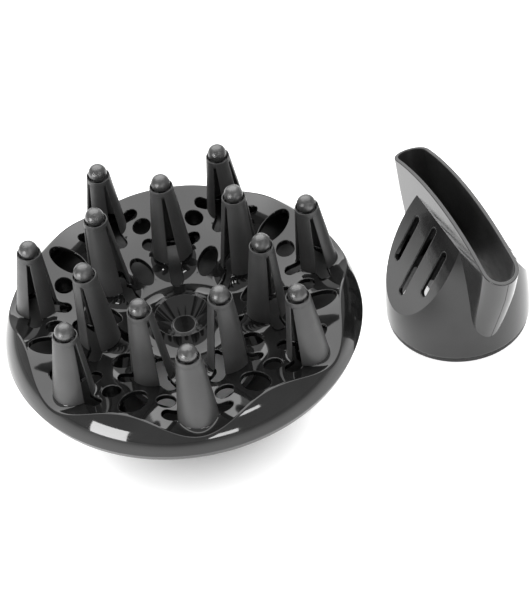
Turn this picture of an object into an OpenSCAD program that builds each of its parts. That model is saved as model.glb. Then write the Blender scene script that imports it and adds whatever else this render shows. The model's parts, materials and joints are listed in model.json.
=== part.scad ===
// Styling attachments of a hair dryer: a finger diffuser and a concentrator nozzle.
// Millimetres, +Z up. The origin is on the diffuser's axis, in the plane both pieces stand on.
// The diffuser stands on its socket; an outer finger points along -Y. The nozzle stands at +X.

/* [Diffuser fingers] */
// How many fingers each of the two rings has
finger_count = 7; // [6:1:7]
// Radius of the circle the outer balls stand on
outer_tip_radius = 60; // [58:0.5:61]
// Height of the centres of the outer balls
outer_tip_height = 90; // [86:0.5:96]
// Radius of the circle the outer fingers are rooted on
outer_root_radius = 62; // [60:0.5:62.5]
// Radius of the circle the inner balls stand on
inner_tip_radius = 37.6; // [36:0.1:39]
// Height of the centres of the inner balls
inner_tip_height = 92.9; // [88:0.1:98]
// Radius of the circle the inner fingers are rooted on
inner_root_radius = 36.4; // [35.5:0.1:37.5]
// Radius of a ball tip
ball_radius = 4.05; // [3.6:0.05:4.2]
// Radius of a finger at its top lip
finger_top_radius = 5.05; // [5:0.05:5.4]
// Radius of a finger at its root
finger_root_radius = 8.8; // [8.2:0.1:9.2]
// Thickness of a finger panel
finger_wall = 1.2; // [1:0.1:1.6]
// Width of a finger slot at its top
slot_top_width = 1.1; // [0.8:0.1:1.6]
// Width of a finger slot at its root
slot_root_width = 5.2; // [4.4:0.1:5.6]

/* [Diffuser dish] */
// Largest radius of the dish, at its outer lip
dish_radius = 76.6; // [76:0.1:78]
// Height of the dish's outer lip
lip_height = 48.3; // [47.5:0.1:49]
// Thickness of the dish plate
plate_wall = 2; // [1.8:0.1:2.4]
// Radius of the rolled rim of the dish
rim_roll = 22.1; // [21.5:0.1:22.5]
// Height of the flats around the outer fingers
pocket_floor = 55.4; // [55:0.1:55.8]
// Radius of the crisp ring in the middle of the dish
crater_radius = 11.5; // [10.5:0.1:12]
// Height of the crisp ring in the middle of the dish
crater_height = 51.6; // [51:0.1:52.5]

/* [Sockets] */
// Radius of the bore that slips over the dryer's barrel
bore_radius = 27.5; // [26:0.1:27.8]
// Depth of the diffuser's socket
socket_depth = 22; // [18:0.5:24]
// Outer radius of the diffuser's socket
socket_radius = 31; // [30.5:0.1:32]
// Slope of the diffuser's rear funnel, in degrees
funnel_slope = 25; // [22:0.5:26]

/* [Nozzle] */
// Nozzle axis: distance from the diffuser's axis along X
nozzle_x = 123; // [118:0.5:150]
// Nozzle axis: distance from the diffuser's axis along Y
nozzle_y = 23.1; // [15:0.1:30]
// Direction the nozzle's mouth runs along, in degrees from +X
mouth_heading = 105.4; // [90:0.1:120]
// Largest radius of the nozzle's round body
dome_radius = 32.4; // [32:0.1:33]
// Height of the shoulder where the round body ends
dome_height = 58.6; // [57.5:0.1:58.8]
// Height of the middle of the mouth
mouth_height = 71; // [69:0.1:73]
// Outer width of the mouth
mouth_width = 16.4; // [15.5:0.1:17]
// Wall of the mouth
mouth_wall = 1.3; // [1.2:0.1:1.6]
// Height of the grooved ring at the foot of the nozzle
collar_height = 2.2; // [2:0.1:2.4]

/* [Hidden] */
$fn = 96;
eps = 0.01;
// Angle from one finger to the next
pitch = 360 / finger_count;
// Heights of the finger roots on their axes
outer_root_height = 57;
inner_root_height = 55.1;
// How far a finger's lip is below its ball's centre, and the cup the ball sits in
lip_drop = 1.5;
cup_radius = 4.6;
cup_depth = 5.2;
cup_floor = 1.2;
stem_radius = 1.6;
// Distance from a finger's axis to the end of a slot in the plate
slot_reach = 14.5;
// Directions of a finger's slots, from straight outwards
outer_slots = [94, 180, 266];
inner_slots = [58, 180, 302];
// Cone of the dish, from the crater's fillet to the ridge
basin_slope = 0.36;
ridge_radius = 68.1;
ridge_height = 63;
// Centre of the rolled rim's section
roll_x = dish_radius - sqrt(pow(rim_roll, 2) - pow(lip_height - 45.4, 2));
roll_z = 45.4;
// Pockets around the outer fingers
pocket_centre = 54;
pocket_radius = 20.1;
pocket_flare = 0.4;
// Sections of the crater
bowl_radius = 11.97;
bowl_height = 54.94;
crater_floor = 44.3;
fillet_radius = 9;
fillet_x = 20;
fillet_z = 55.2;
// Edge of the hub, inside the ring of inner fingers
hub_radius = 25.5;
// Screw recesses: sector and direction of each, and their sizes
screw_sites = [[6, 1], [3, 1], [5, -1], [1, 1]];
round_hole_radius = 3.9;
round_hole_ring = 53.7;
round_hole_angle = 13;
recess_floor = 46;
screw_radius = 1.5;
boss_radius = 4.2;
// Neck of the funnel
neck_arc = 14;
neck_height = 16;
// Level where the socket's neck meets the funnel
neck_joint = 27;
// Nozzle body: radius of its barrel-shaped side, and the slanting scoops
barrel_radius = 128;
barrel_height = 8;
body_wall = 1.8;
scoop_base = 42.5;
scoop_slope = 0.58;
vent_width = 3.8;
// Swivel: sleeve of the collar inside the body
sleeve_radius = 29.2;
sleeve_height = 16;
swivel_gap = 0.3;
// Centre line of the rounded column under each end of the mouth
column_foot = [20.4, 4];
column_top = [45.4, 74];
half_mouth = mouth_width / 2;
// Thickness of the roof over the round body
dome_roof = 1.6;
// Arch of the mouth
arch_radius = 115.5;

// Place one finger: its root on the ring, its axis leaning to the ball
module stand(azimuth, root_r, root_z, tip_r, tip_z) {
  rotate([0, 0, azimuth])
    translate([root_r, 0, root_z])
      rotate([0, atan2(tip_r - root_r, tip_z - root_z), 0])
        children();
}

module stand_outer(k) {
  stand(-90 + pitch * k, outer_root_radius, outer_root_height, outer_tip_radius, outer_tip_height)
    children();
}

module stand_inner(k) {
  stand(-90 + pitch * (k - 0.5), inner_root_radius, inner_root_height,
        inner_tip_radius, inner_tip_height)
    children();
}

outer_length = norm([outer_tip_radius - outer_root_radius, outer_tip_height - outer_root_height]);
inner_length = norm([inner_tip_radius - inner_root_radius, inner_tip_height - inner_root_height]);

// Tapering slot through one side of a finger
module finger_slot(length) {
  rotate([90, 0, 90])
    translate([0, 0, 3.2])
      linear_extrude(9)
        polygon([
          [-slot_root_width / 2, -1],
          [slot_root_width / 2, -1],
          [slot_top_width / 2, length - lip_drop - 2.1],
          [-slot_top_width / 2, length - lip_drop - 2.1]
        ]);
}

// Hollow, slotted finger with a cup for its ball
module finger(length, slots) {
  top = length - lip_drop;
  lean = (finger_root_radius - finger_top_radius) / top;
  ceiling = length - cup_depth - cup_floor;
  difference() {
    rotate_extrude()
      polygon([
        [finger_root_radius - finger_wall, 0],
        [finger_root_radius, 0],
        [finger_top_radius, top],
        [cup_radius, top],
        [cup_radius, length - cup_depth],
        [stem_radius + 0.1, length - cup_depth],
        [stem_radius + 0.1, ceiling],
        [finger_root_radius - finger_wall - lean * ceiling, ceiling]
      ]);
    for (a = slots)
      rotate([0, 0, a])
        finger_slot(length);
  }
}

// Ball with its seat and stem
module tip(length) {
  translate([0, 0, length])
    sphere(r = ball_radius);
  translate([0, 0, length - cup_depth])
    cylinder(h = 3, r = 2.4);
  translate([0, 0, length - cup_depth - 4])
    cylinder(h = 5, r = stem_radius);
}

// Rounded slot in the plate, from a finger's axis outwards
module keyhole() {
  half = slot_root_width / 2;
  translate([0, -half])
    square([slot_reach - half, slot_root_width]);
  translate([slot_reach - half, 0])
    circle(r = half);
}

// Oval lying along a radius
module oval(half_length, half_width) {
  run = half_length - half_width;
  translate([-run, -half_width])
    square([2 * run, 2 * half_width]);
  translate([-run, 0])
    circle(r = half_width);
  translate([run, 0])
    circle(r = half_width);
}

// Everything under the dish's upper face, in section
module dish_section() {
  difference() {
    union() {
      polygon([
        [0, 38],
        [ridge_radius, 38],
        [ridge_radius, ridge_height],
        [fillet_x + 3.05, ridge_height - basin_slope * (ridge_radius - fillet_x - 3.05)],
        [fillet_x, fillet_z],
        [crater_radius + 0.4, crater_height],
        [0, crater_height]
      ]);
      intersection() {
        translate([roll_x, roll_z])
          circle(r = rim_roll);
        translate([ridge_radius - eps, 38])
          square([20, 30]);
      }
    }
    translate([fillet_x, fillet_z])
      circle(r = fillet_radius);
    intersection() {
      translate([0, bowl_height])
        circle(r = bowl_radius);
      translate([0, crater_floor])
        square([20, 20]);
    }
    translate([-40, 0])
      square([40, 80]);
  }
}

// Everything under the dish's lower face, in section
module hollow_section() {
  drop = plate_wall / cos(atan(basin_slope));
  inner_ridge = ridge_radius - 0.38;
  polygon([
    [0, 30],
    [inner_ridge, 30],
    [inner_ridge, ridge_height - drop - basin_slope * 0.38],
    [fillet_x + 3.05, ridge_height - drop - basin_slope * (ridge_radius - fillet_x - 3.05)],
    [fillet_x, fillet_z - fillet_radius - plate_wall - 0.2],
    [12.5, crater_floor - 0.3],
    [8.5, crater_floor - plate_wall],
    [0, crater_floor - plate_wall]
  ]);
  intersection() {
    translate([roll_x, roll_z])
      circle(r = rim_roll - plate_wall);
    translate([inner_ridge - eps, 30])
      square([20, 40]);
  }
  translate([40, 30])
    square([50, lip_height - 30]);
}

// Flared pocket around each outer finger, grown by the given wall
module pockets(grow) {
  base = pocket_floor - grow;
  for (k = [0:finger_count - 1])
    rotate([0, 0, -90 + pitch * k])
      translate([pocket_centre, 0, base])
        cylinder(h = 14, r1 = pocket_radius + grow, r2 = pocket_radius + grow + pocket_flare * 14);
}

// Gloss foot under a finger, part of the plate
module foot(depth) {
  translate([0, 0, -depth])
    cylinder(h = depth, r1 = finger_root_radius - 0.4 + 0.25 * depth, r2 = finger_root_radius - 0.4);
}

// Position of one of the round holes
module at_round_hole(sector, side) {
  rotate([0, 0, -90 + sector * pitch + side * round_hole_angle])
    translate([round_hole_ring, 0, 0])
      children();
}

// All openings in the plate, in plan
module plate_openings() {
  for (k = [0:finger_count - 1]) {
    rotate(-90 + pitch * k) {
      translate([outer_root_radius, 0])
        finger_opening(outer_slots);
      translate([33.4, 0])
        oval(6.7, 4);
    }
    rotate(-90 + pitch * (k - 0.5)) {
      translate([inner_root_radius, 0])
        finger_opening(inner_slots);
      translate([57.7, 0])
        oval(8.6, 5.2);
    }
    for (side = [-1, 1])
      rotate(-90 + pitch * k + side * round_hole_angle)
        translate([round_hole_ring, 0])
          circle(r = round_hole_radius);
  }
}

// Air passage under one finger and the three slots that leave it
module finger_opening(slots) {
  circle(r = finger_root_radius - 1.9);
  for (a = slots)
    rotate(a)
      keyhole();
}

// Whole seven-lobed plate with feet, crater and openings
module plate() {
  difference() {
    union() {
      difference() {
        rotate_extrude()
          dish_section();
        pockets(0);
      }
      for (k = [0:finger_count - 1]) {
        stand_outer(k)
          foot(3.2);
        stand_inner(k)
          foot(8.2);
      }
    }
    difference() {
      rotate_extrude()
        hollow_section();
      pockets(plate_wall);
    }
    translate([0, 0, 40])
      linear_extrude(30)
        plate_openings();
  }
}

// Plate around its hub, out to the rolled rim
module front_plate() color([0.05, 0.05, 0.06]) {
  difference() {
    plate();
    cylinder(h = 90, r = hub_radius);
  }
}

// Middle of the plate, with the crater
module plate_hub() color([0.05, 0.05, 0.06]) {
  intersection() {
    plate();
    cylinder(h = 90, r = hub_radius);
  }
}

// Four wells under the plate that the screws sit in
module screw_wells() color([0.05, 0.05, 0.06]) {
  for (site = screw_sites)
    at_round_hole(site[0], site[1])
      translate([0, 0, recess_floor - 2])
        difference() {
          cylinder(h = pocket_floor - plate_wall - recess_floor + 2, r = round_hole_radius + 1.3);
          translate([0, 0, 2])
            cylinder(h = 20, r = round_hole_radius);
          translate([0, 0, -1])
            cylinder(h = 5, r = screw_radius + 0.2);
        }
}

// Outer outline of the rear funnel, in section
module funnel_section(arc, rim, top) {
  foot_r = socket_radius + neck_arc - arc;
  centre = socket_radius + neck_arc;
  end_x = centre - arc * sin(90 - funnel_slope);
  end_z = neck_height + arc * cos(90 - funnel_slope);
  difference() {
    polygon([
      [0, -eps],
      [foot_r, -eps],
      [foot_r, neck_height],
      [centre, neck_height],
      [end_x, end_z],
      [rim, end_z + (rim - end_x) * tan(funnel_slope)],
      [rim + 0.7, top],
      [0, top]
    ]);
    translate([centre, neck_height])
      circle(r = arc);
  }
}

module funnel_outside() {
  intersection() {
    rotate_extrude()
      funnel_section(neck_arc, dish_radius - 1, lip_height);
    cylinder(h = 100, r = 100);
  }
}

module funnel_wall() {
  difference() {
    funnel_outside();
    translate([0, 0, -eps])
      rotate_extrude()
        funnel_section(neck_arc + 2, dish_radius - 3.4, lip_height + 1);
  }
}

// Socket for the barrel, flaring into its neck
module rear_socket() color([0.12, 0.12, 0.13]) {
  intersection() {
    funnel_wall();
    cylinder(h = neck_joint, r = 60);
  }
  difference() {
    cylinder(h = socket_depth, r = socket_radius - 0.5);
    translate([0, 0, -1])
      cylinder(h = socket_depth + 2, r = bore_radius);
  }
}

// Rear funnel with four screw bosses and a tongue inside the dish's lip
module rear_funnel() color([0.1, 0.1, 0.11]) {
  intersection() {
    funnel_wall();
    translate([0, 0, neck_joint])
      cylinder(h = 40, r = 90);
  }
  translate([0, 0, lip_height - 2.4])
    difference() {
      cylinder(h = 4.1, r = dish_radius - 2.7);
      translate([0, 0, -1])
        cylinder(h = 8, r = dish_radius - 4.1);
    }
  for (site = screw_sites)
    difference() {
      intersection() {
        at_round_hole(site[0], site[1])
          cylinder(h = recess_floor - 2, r = boss_radius);
        funnel_outside();
      }
      at_round_hole(site[0], site[1])
        translate([0, 0, recess_floor - 10])
          cylinder(h = 12, r = screw_radius);
    }
}

// One cross-head screw, its head on the recess floor
module screw() {
  difference() {
    cylinder(h = 2, r1 = 3, r2 = 2.7);
    for (a = [45, 135])
      rotate([0, 0, a])
        translate([-1.8, -0.4, 0.9])
          cube([3.6, 0.8, 2]);
  }
  translate([0, 0, -9.5])
    cylinder(h = 10, r = screw_radius);
}

// Four screws that hold the front plate to the rear funnel
module plate_screws() color([0.35, 0.35, 0.36]) {
  for (site = screw_sites)
    at_round_hole(site[0], site[1])
      translate([0, 0, recess_floor])
        rotate([0, 0, 30 * site[0]])
          screw();
}

module outer_finger(k) color([0.2, 0.2, 0.21]) {
  stand_outer(k)
    finger(outer_length, outer_slots);
}

module inner_finger(k) color([0.2, 0.2, 0.21]) {
  stand_inner(k)
    finger(inner_length, inner_slots);
}

module outer_tip(k) color([0.4, 0.4, 0.41]) {
  stand_outer(k)
    tip(outer_length);
}

module inner_tip(k) color([0.4, 0.4, 0.41]) {
  stand_inner(k)
    tip(inner_length);
}

module finger_outer_1() { outer_finger(0); }
module finger_outer_2() { outer_finger(1); }
module finger_outer_3() { outer_finger(2); }
module finger_outer_4() { outer_finger(3); }
module finger_outer_5() { outer_finger(4); }
module finger_outer_6() { outer_finger(5); }
module finger_outer_7() { outer_finger(6); }
module finger_inner_1() { inner_finger(0); }
module finger_inner_2() { inner_finger(1); }
module finger_inner_3() { inner_finger(2); }
module finger_inner_4() { inner_finger(3); }
module finger_inner_5() { inner_finger(4); }
module finger_inner_6() { inner_finger(5); }
module finger_inner_7() { inner_finger(6); }
module tip_outer_1() { outer_tip(0); }
module tip_outer_2() { outer_tip(1); }
module tip_outer_3() { outer_tip(2); }
module tip_outer_4() { outer_tip(3); }
module tip_outer_5() { outer_tip(4); }
module tip_outer_6() { outer_tip(5); }
module tip_outer_7() { outer_tip(6); }
module tip_inner_1() { inner_tip(0); }
module tip_inner_2() { inner_tip(1); }
module tip_inner_3() { inner_tip(2); }
module tip_inner_4() { inner_tip(3); }
module tip_inner_5() { inner_tip(4); }
module tip_inner_6() { inner_tip(5); }
module tip_inner_7() { inner_tip(6); }

// Nozzle's own frame: X along the mouth, Y across it
module at_nozzle() {
  translate([nozzle_x, nozzle_y, 0])
    rotate([0, 0, mouth_heading])
      children();
}

// Barrel-shaped round body with a slanting scoop on each broad side
module dome(inset, low, high) {
  across = inset / cos(atan(scoop_slope));
  intersection() {
    rotate_extrude()
      intersection() {
        translate([dome_radius - barrel_radius, barrel_height])
          circle(r = barrel_radius - inset);
        translate([0, low])
          square([40, high - low]);
      }
    rotate([90, 0, 90])
      translate([0, 0, -50])
        linear_extrude(100)
          polygon([
            [-scoop_base + across, 0],
            [scoop_base - across, 0],
            [scoop_base - across - scoop_slope * 70, 70],
            [across - scoop_base + scoop_slope * 70, 70]
          ]);
  }
}

// Round outer half of the column between two points of the plane across the mouth
module half_bar(from, to, half) {
  run = to - from;
  translate([from[0], 0, from[1]])
    rotate([0, atan2(run[0], run[1]), 0])
      linear_extrude(norm(run))
        intersection() {
          circle(r = half);
          translate([0, -20])
            square([20, 40]);
        }
}

// Flattened fan that carries the mouth, with a rounded column under each end
module fan(inset) {
  half = half_mouth - inset;
  difference() {
    union() {
      rotate([90, 0, 0])
        translate([0, 0, -half])
          linear_extrude(2 * half)
            polygon([
              [-column_foot[0], column_foot[1]],
              [column_foot[0], column_foot[1]],
              column_top,
              [-column_top[0], column_top[1]]
            ]);
      half_bar(column_foot, column_top, half);
      mirror([1, 0, 0])
        half_bar(column_foot, column_top, half);
    }
    translate([0, 50, 0])
      rotate([90, 0, 0])
        linear_extrude(100)
          difference() {
            translate([-70, mouth_height - 20])
              square([140, 60]);
            translate([0, mouth_height - arch_radius])
              circle(r = arch_radius + (inset > 0 ? 5 : 0));
          }
    translate([-60, -20, -20])
      cube([120, 40, 20 + (inset > 0 ? sleeve_height + 1 : 8)]);
  }
}

// Narrow vent down the slope of a scoop
module vent(along, low, high) {
  mid = (low + high) / 2;
  reach = (high - low) / cos(atan(scoop_slope)) / 2;
  translate([along, scoop_base - scoop_slope * mid, mid])
    rotate([90 + atan(scoop_slope), 0, 0])
      translate([0, 0, -4])
        linear_extrude(8)
          rotate(90)
            oval(reach, vent_width / 2);
}

// Room for the collar's sleeve and its bead
module swivel_bore() {
  translate([0, 0, -1])
    cylinder(h = sleeve_height + 2.1, r = sleeve_radius + swivel_gap);
  translate([0, 0, 8.4])
    cylinder(h = 3, r = sleeve_radius + 0.7 + swivel_gap);
}

// Round body of the nozzle, with a vented scoop on each broad side
module nozzle_dome() color([0.05, 0.05, 0.06]) at_nozzle() {
  low = collar_height + swivel_gap;
  difference() {
    intersection() {
      dome(0, low, dome_height);
      translate([0, 0, low])
        cylinder(h = 90, r1 = dome_radius - 1.1, r2 = dome_radius + 44);
    }
    dome(body_wall, sleeve_height + 1, dome_height - dome_roof);
    fan(0);
    swivel_bore();
    for (side = [0, 1])
      mirror([0, side, 0]) {
        vent(0, 25, 56.5);
        vent(-12.8, 33, 53.5);
        vent(12.8, 33, 53.5);
      }
  }
}

// Wide flat mouth of the nozzle, above the round body's cavity
module nozzle_mouth() color([0.06, 0.06, 0.07]) at_nozzle() {
  difference() {
    fan(0);
    fan(mouth_wall);
    translate([0, 0, dome_height - dome_roof - 100])
      cube([200, 200, 200], center = true);
  }
}

// The two columns that carry the mouth's ends, down the round body's sides
module nozzle_wings() color([0.06, 0.06, 0.07]) at_nozzle() {
  difference() {
    fan(0);
    fan(mouth_wall);
    dome(body_wall, sleeve_height + 1, dome_height + 3);
    swivel_bore();
    translate([0, 0, dome_height - dome_roof + 100])
      cube([200, 200, 200], center = true);
  }
}

// Grooved ring that slips over the barrel, with the sleeve the nozzle turns on
module nozzle_collar() color([0.16, 0.16, 0.17]) at_nozzle() {
  difference() {
    union() {
      cylinder(h = collar_height, r = dome_radius - 1.2);
      cylinder(h = sleeve_height, r = sleeve_radius);
      translate([0, 0, 9])
        cylinder(h = 1.6, r = sleeve_radius + 0.7);
    }
    translate([0, 0, -1])
      cylinder(h = sleeve_height + 2, r = bore_radius);
    for (i = [0:2])
      translate([0, 0, 0.35 + 0.65 * i])
        difference() {
          cylinder(h = 0.25, r = dome_radius);
          translate([0, 0, -1])
            cylinder(h = 3, r = dome_radius - 1.5);
        }
  }
}

front_plate();
plate_hub();
screw_wells();
rear_funnel();
rear_socket();
plate_screws();
finger_outer_1();
finger_outer_2();
finger_outer_3();
finger_outer_4();
finger_outer_5();
finger_outer_6();
finger_outer_7();
finger_inner_1();
finger_inner_2();
finger_inner_3();
finger_inner_4();
finger_inner_5();
finger_inner_6();
finger_inner_7();
tip_outer_1();
tip_outer_2();
tip_outer_3();
tip_outer_4();
tip_outer_5();
tip_outer_6();
tip_outer_7();
tip_inner_1();
tip_inner_2();
tip_inner_3();
tip_inner_4();
tip_inner_5();
tip_inner_6();
tip_inner_7();
nozzle_collar();
nozzle_dome();
nozzle_mouth();
nozzle_wings();
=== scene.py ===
"""Looks of a hair dryer's two styling attachments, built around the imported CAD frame.

Shapes are worked out in millimetres and made in metres. Z is up. The diffuser's axis is at the
origin and an outer finger points along -Y; the nozzle has its own frame, given by its socket.
"""

import json
import math

import bpy
from mathutils import Matrix, Vector
from mathutils.geometry import delaunay_2d_cdt


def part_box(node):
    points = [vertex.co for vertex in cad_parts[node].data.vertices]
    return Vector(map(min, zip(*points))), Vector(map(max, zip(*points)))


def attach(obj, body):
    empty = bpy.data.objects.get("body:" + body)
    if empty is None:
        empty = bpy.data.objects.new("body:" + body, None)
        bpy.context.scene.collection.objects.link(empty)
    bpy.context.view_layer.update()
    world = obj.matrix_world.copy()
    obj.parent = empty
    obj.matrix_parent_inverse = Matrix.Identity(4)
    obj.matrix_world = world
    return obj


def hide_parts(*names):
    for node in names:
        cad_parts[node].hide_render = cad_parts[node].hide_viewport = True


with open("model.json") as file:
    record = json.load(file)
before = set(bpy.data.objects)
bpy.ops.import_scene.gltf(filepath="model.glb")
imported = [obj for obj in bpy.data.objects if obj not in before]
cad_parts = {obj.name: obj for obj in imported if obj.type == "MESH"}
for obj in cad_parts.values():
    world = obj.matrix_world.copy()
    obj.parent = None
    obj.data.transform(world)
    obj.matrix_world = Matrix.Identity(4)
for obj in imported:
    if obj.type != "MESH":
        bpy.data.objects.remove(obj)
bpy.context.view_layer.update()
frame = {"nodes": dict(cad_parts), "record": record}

MM = 0.001

# ---------------------------------------------------------------- sizes, in millimetres

# fingers: roots, ball centres, width of the flare at the foot, and where slots point in degrees
FINGERS = 7
PITCH = 2 * math.pi / FINGERS
OUTER = dict(root_r=62.0, root_z=57.0, tip_r=60.0, tip_z=90.0, flare=2.6, slots=(94, 180, 266))
INNER = dict(root_r=36.4, root_z=54.2, tip_r=37.6, tip_z=92.9, flare=5.0, slots=(58, 180, 302))
BALL_R = 4.05
STEM_R, STEM_NECK_R, STEM_NECK_Z = 1.6, 2.0, 0.6
TOP_R, ROOT_R = 5.05, 8.8
FOOT_R = ROOT_R - 0.35
PASSAGE_R = ROOT_R - 1.9
PANEL_WALL, PANEL_EDGE, PANEL_FOOT, PANEL_LEAN = 1.2, 0.28, 0.3, 0.11
CUP_R, CUP_DEPTH, LIP_DROP, LIP_ROUND, CUP_BAND = 4.6, 5.2, 1.5, 0.22, 2.1
SLOT_TOP, SLOT_ROOT, SLOT_REACH = 1.1, 5.2, 14.5

# dish: rolled rim, seven-lobed ridge, basin, crater with its disc, and the fillet round it
plate_low, plate_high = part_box("front_plate")
DISH_R = (plate_high.x - plate_low.x) / 2 / MM
LIP_Z = 48.3
ROLL_R, ROLL_Z = 22.1, 45.4
ROLL_X = DISH_R - math.sqrt(ROLL_R**2 - (LIP_Z - ROLL_Z) ** 2)
RIDGE_R, RIDGE_WAVE = 71.1, 3.0
FOLD_IN, FOLD_OUT = 0.8, 0.6
LOBE_R, LOBE_Z, BASIN_SLOPE = 68.1, 63.0, 0.36
FLAT_R, FLAT_Z, FLAT_SLOPE, FLAT_BLEND = 50.0, 55.6, 0.01, 2.4
WAVE_START, WAVE_RUN, LAND_BLEND = 24.0, 36.0, 8
CRATER_R, CRATER_Z, CRATER_FLOOR, CRATER_ROUND = 12.2, 50.5, 44.3, 0.7
DISC_R, DISC_RISE, DISC_STEP = 5.0, 0.4, 0.5
FILLET_R, FILLET_X, FILLET_Z = 9.0, 20.0, 55.2
FILLET_END = FILLET_X + 3.05
INNER_EDGE = 20.5
DISH_TURNS = [2 * math.pi / 560 * k for k in range(560)]
GRID_AROUND, GRID_OUT = 1.15, 1.05
FLARE_RINGS = (-0.1, 0.01, 0.03, 0.07, 0.14, 0.26, 0.42, 0.6, 0.8, 1.0)

# openings in the dish; a screw site is an outer finger, counted from 0, and a side of it
INNER_OVAL = {"r": 33.4, "half_length": 6.7, "half_width": 4.0}
OUTER_OVAL = {"r": 57.7, "half_length": 8.6, "half_width": 5.2}
ROUND_R, ROUND_TURN, ROUND_HOLE_R = 53.7, math.radians(13), 3.9
SCREW_SITES = ((6, 1), (3, 1), (5, -1), (1, 1))
RECESS_Z = 46.0
HOLE_EDGE, HOLE_WALL, RECESS_WALL = 0.5, (1.4, 2.2), (0.3, 0.0)

# rear shell: centre and radius of the neck's curve, socket, funnel and screw bosses
NECK_X, NECK_Z, NECK_R, FUNNEL_WALL = 45, 16, 14, 2
SOCKET_R, SOCKET_TOP = 31.0, 22.0
FUNNEL_SLOPE, INNER_SLOPE = math.tan(math.radians(25)), 0.466
BOSS_R, BOSS_LOW, BOSS_HIGH = 4.2, 38.0, RECESS_Z - 2

# nozzle: barrel-shaped dome, slanting scoops, vents as (place, low, high), fan and arched lip
NOZZLE = next(m for m in frame["record"]["mounts"] if m["name"] == "nozzle_socket")
NOZZLE_AT = Vector(NOZZLE["pos_m"])
NOZZLE_TURN = math.radians(105.4)
BORE_R = NOZZLE["dims"]["r_mm"]
NOZZLE_AROUND = 720
DOME_R, BARREL_R, BARREL_Z, DOME_Z = 32.4, 128.0, 8.0, 59.1
DOME_LOW, DOME_LEVELS, TUCK_HIGH, TUCK_DEEP = 2.5, 90, 1.6, 0.9
SCOOP_BASE, SCOOP_SLOPE = 42.5, 0.58
SCOOP_RUN = math.hypot(1, SCOOP_SLOPE)
VENTS = ((0.0, 25.0, 56.5), (-12.8, 33.0, 53.5), (12.8, 33.0, 53.5))
VENT_HALF, VENT_EDGE, VENT_WALL = 1.9, 0.4, (1.0, 1.8)
MOUTH_HALF, MOUTH_WALL, MOUTH_Z, ARCH_R = 8.2, 1.9, 71.0, 115.5
MOUTH_STRETCH, MOUTH_LEAN, MOUTH_LOW, FAN_OVERLAP = 1.045, 0.3, 8.0, 0.7
LIP_SINK, LIP_FLAT = 0.5, 0.6
LIP_ROWS = ((0.1, 0.24, 0.4), (0.3, 0.07, 0.75))
SEAM_R, SEAM_OUT, SEAM_LOW, SEAM_S = 0.07, 0.02, 9, 48
COLLAR_R, COLLAR_Z, SLEEVE_R, SLEEVE_Z = 31.6, 2.2, 29.2, 16.0
GROOVES, GROOVE_LOW, GROOVE_PITCH, GROOVE_DEPTH = 3, 0.35, 0.65, 0.5


# ---------------------------------------------------------------- materials

NOISE_LOW, NOISE_HIGH = 0.35, 0.65


def new_material(name):
    material = bpy.data.materials.new(name)
    material.use_nodes = True
    nodes = material.node_tree.nodes
    return material, nodes, material.node_tree.links, nodes["Principled BSDF"]


def noise(nodes, links, scale, detail=4.0, rough=0.6):
    where = nodes.new("ShaderNodeTexCoord")
    texture = nodes.new("ShaderNodeTexNoise")
    texture.inputs["Scale"].default_value = scale
    texture.inputs["Detail"].default_value = detail
    texture.inputs["Roughness"].default_value = rough
    links.new(where.outputs["Object"], texture.inputs["Vector"])
    return texture.outputs["Fac"]


def spread(nodes, links, source, low, high, start=NOISE_LOW, end=NOISE_HIGH):
    """A value that goes from low to high while the source goes from start to end."""
    ramp = nodes.new("ShaderNodeMapRange")
    ramp.inputs["From Min"].default_value = start
    ramp.inputs["From Max"].default_value = end
    ramp.inputs["To Min"].default_value = low
    ramp.inputs["To Max"].default_value = high
    links.new(source, ramp.inputs["Value"])
    return ramp.outputs["Result"]


def tint(nodes, links, source, dark, light):
    """A colour between two, by a noise texture whose middle part is used."""
    ramp = nodes.new("ShaderNodeValToRGB")
    ramp.color_ramp.elements[0].position = NOISE_LOW
    ramp.color_ramp.elements[0].color = (*dark, 1)
    ramp.color_ramp.elements[1].position = NOISE_HIGH
    ramp.color_ramp.elements[1].color = (*light, 1)
    links.new(source, ramp.inputs["Fac"])
    return ramp.outputs["Color"]


def plastic(name, dark, light, gloss, bump_scale, bump_height, specular=0.5):
    """Moulded plastic: cloudy tone, uneven gloss and a fine surface grain; heights in metres."""
    material, nodes, links, shader = new_material(name)
    clouds = noise(nodes, links, 60.0)
    tone = tint(nodes, links, clouds, (dark,) * 3, (light,) * 3)
    links.new(tone, shader.inputs["Base Color"])
    smears = noise(nodes, links, 140.0, detail=6.0, rough=0.7)
    links.new(spread(nodes, links, smears, *gloss), shader.inputs["Roughness"])
    grain = noise(nodes, links, bump_scale, detail=3.0)
    bump = nodes.new("ShaderNodeBump")
    bump.inputs["Strength"].default_value = 1.0
    bump.inputs["Distance"].default_value = bump_height
    links.new(grain, bump.inputs["Height"])
    links.new(bump.outputs["Normal"], shader.inputs["Normal"])
    shader.inputs["Specular IOR Level"].default_value = specular
    return material


GLOSS = plastic("gloss_black", 0.006, 0.01, (0.04, 0.08), 90.0, 0.000008)
NOZZLE_GLOSS = plastic("nozzle_gloss", 0.01, 0.015, (0.06, 0.12), 90.0, 0.00001)
INSIDE = plastic("inside_black", 0.006, 0.01, (0.3, 0.45), 400.0, 0.00002)
PANEL = plastic("finger_matte", 0.034, 0.042, (0.4, 0.5), 3500.0, 0.00002)
TIP = plastic("tip_satin", 0.014, 0.034, (0.24, 0.36), 1400.0, 0.00016, specular=1.0)
MOUTH = plastic("mouth_matte", 0.016, 0.03, (0.28, 0.4), 900.0, 0.00003)
RIM = plastic("shell_satin", 0.012, 0.016, (0.12, 0.2), 1500.0, 0.00002)
COLLAR = plastic("collar_satin", 0.02, 0.03, (0.2, 0.3), 900.0, 0.00002)
STEEL = plastic("screw_dark_steel", 0.6, 0.85, (0.15, 0.28), 900.0, 0.00003)
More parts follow.
